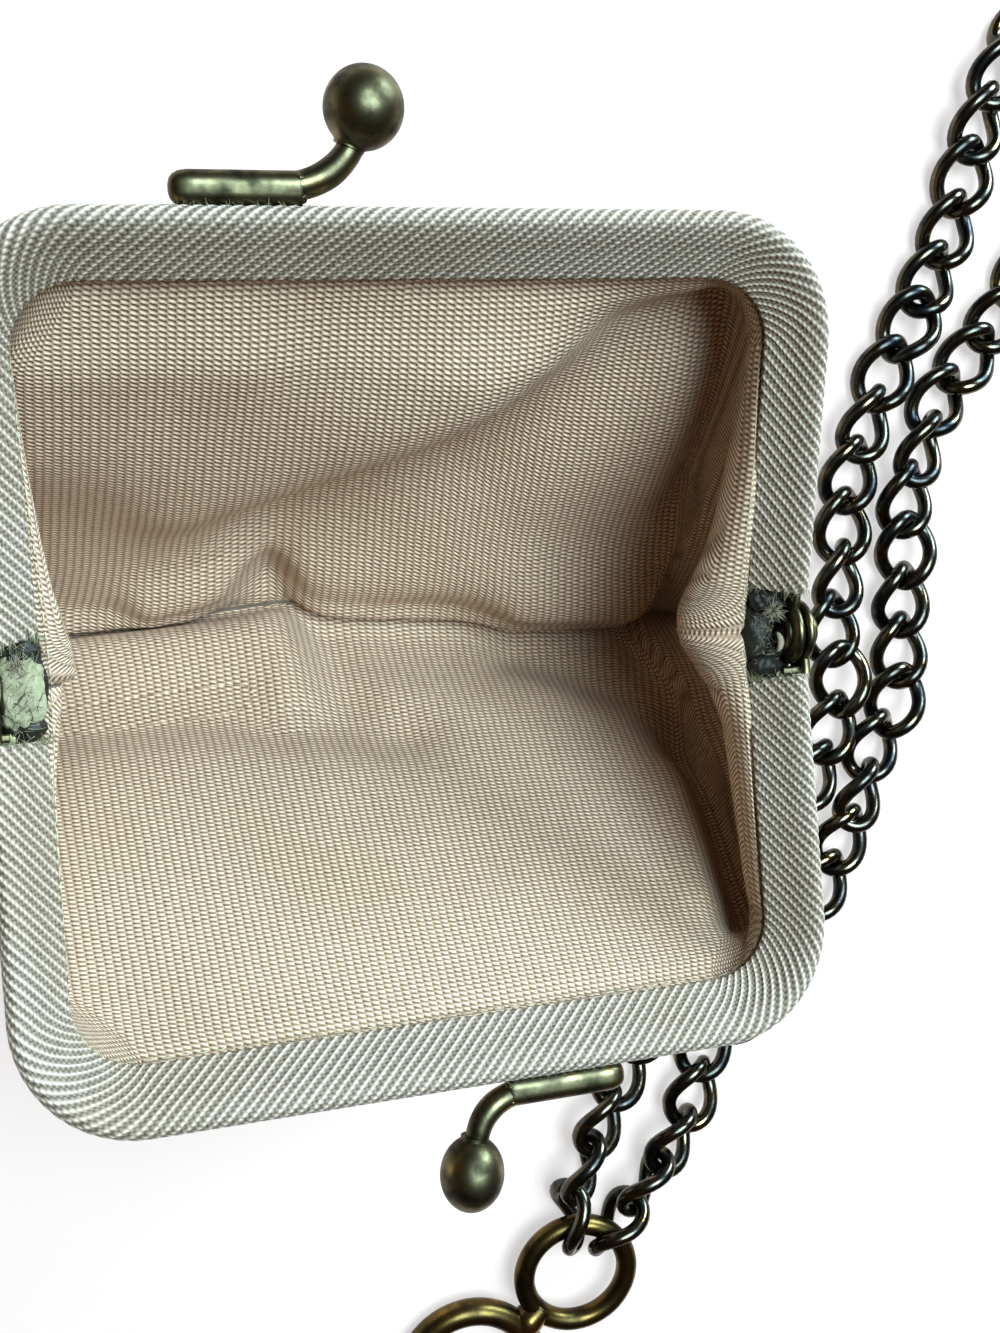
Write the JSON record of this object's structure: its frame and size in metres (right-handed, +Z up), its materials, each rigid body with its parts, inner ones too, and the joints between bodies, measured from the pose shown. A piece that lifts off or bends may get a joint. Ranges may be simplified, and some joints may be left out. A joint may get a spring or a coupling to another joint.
{
  "type": "kiss lock purse",
  "caption": "Small cloth purse standing open, cloth-covered hinged frame with crossing ball clasps, pleated lining, and a loose chain strap with a clasp lying beside it.",
  "frame": {"origin": "centre of the flat base on the ground, under the middle of the hinge line", "axes": "+Z up, +X along the hinge line towards the hinge beside the chain, +Y towards the back half of the frame"},
  "size_m": [0.1684, 0.2181, 0.0656],
  "materials": {
    "frame_metal": "aged dark bronze patina",
    "cover_cloth": "ribbed cream cloth cut on the bias",
    "outer_cloth": "ribbed cream cloth",
    "lining_cloth": "ribbed champagne faille with a soft sheen",
    "chain_metal": "gunmetal plating with bronze wear",
    "clasp_metal": "worn antique brass"
  },
  "bodies": {
    "root": {"frame_back": "frame_metal", "frame_front": "frame_metal", "hinge_rivet_right": "frame_metal", "hinge_rivet_left": "frame_metal", "cover_back": "cover_cloth", "cover_front": "cover_cloth", "outer_bag": "outer_cloth", "lining": "lining_cloth", "chain_strap": "chain_metal", "strap_clasp": "clasp_metal"}
  },
  "joints": []
}
